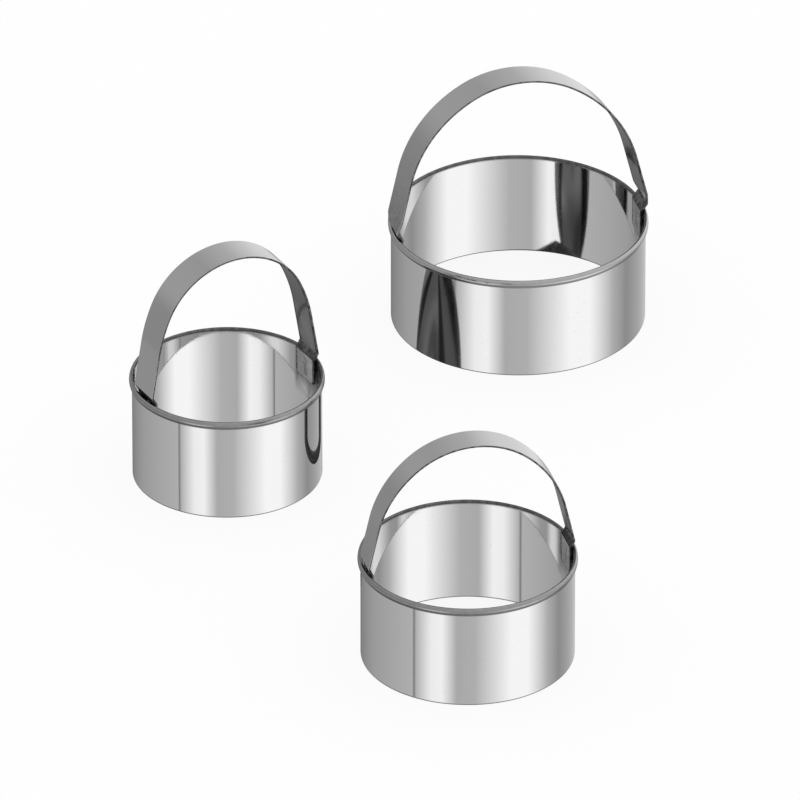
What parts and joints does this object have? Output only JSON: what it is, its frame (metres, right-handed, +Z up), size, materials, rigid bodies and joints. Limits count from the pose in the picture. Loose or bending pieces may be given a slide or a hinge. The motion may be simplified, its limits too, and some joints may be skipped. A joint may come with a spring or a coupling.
{
  "type": "biscuit cutter set",
  "caption": "Round biscuit cutters of graded size: thin steel rings with a curled top rim, a plain cutting edge and an arched strap handle.",
  "frame": {"origin": "centre of the box round the whole set, on the plane that the cutting edges stand on", "axes": "+X to the right and +Y away from the viewer of the picture, +Z up along the axes of the rings"},
  "size_m": [0.1542, 0.27, 0.0816],
  "materials": {
    "rolled_sheet": "mirror polished sheet",
    "strap": "polished strap with faint rolling lines",
    "weld": "dull spot weld"
  },
  "bodies": {
    "large_cutter": {"large_ring": "rolled_sheet", "large_handle": "strap", "large_welds": "weld"},
    "medium_cutter": {"medium_ring": "rolled_sheet", "medium_handle": "strap", "medium_welds": "weld"},
    "small_cutter": {"small_ring": "rolled_sheet", "small_handle": "strap", "small_welds": "weld"}
  },
  "joints": [
    {"name": "medium_lift", "type": "slide", "parent": "large_cutter", "child": "medium_cutter", "axis": [0, 0, 1], "range_m": [0, 0.09]},
    {"name": "small_lift", "type": "slide", "parent": "large_cutter", "child": "small_cutter", "axis": [0, 0, 1], "range_m": [0, 0.09]}
  ]
}
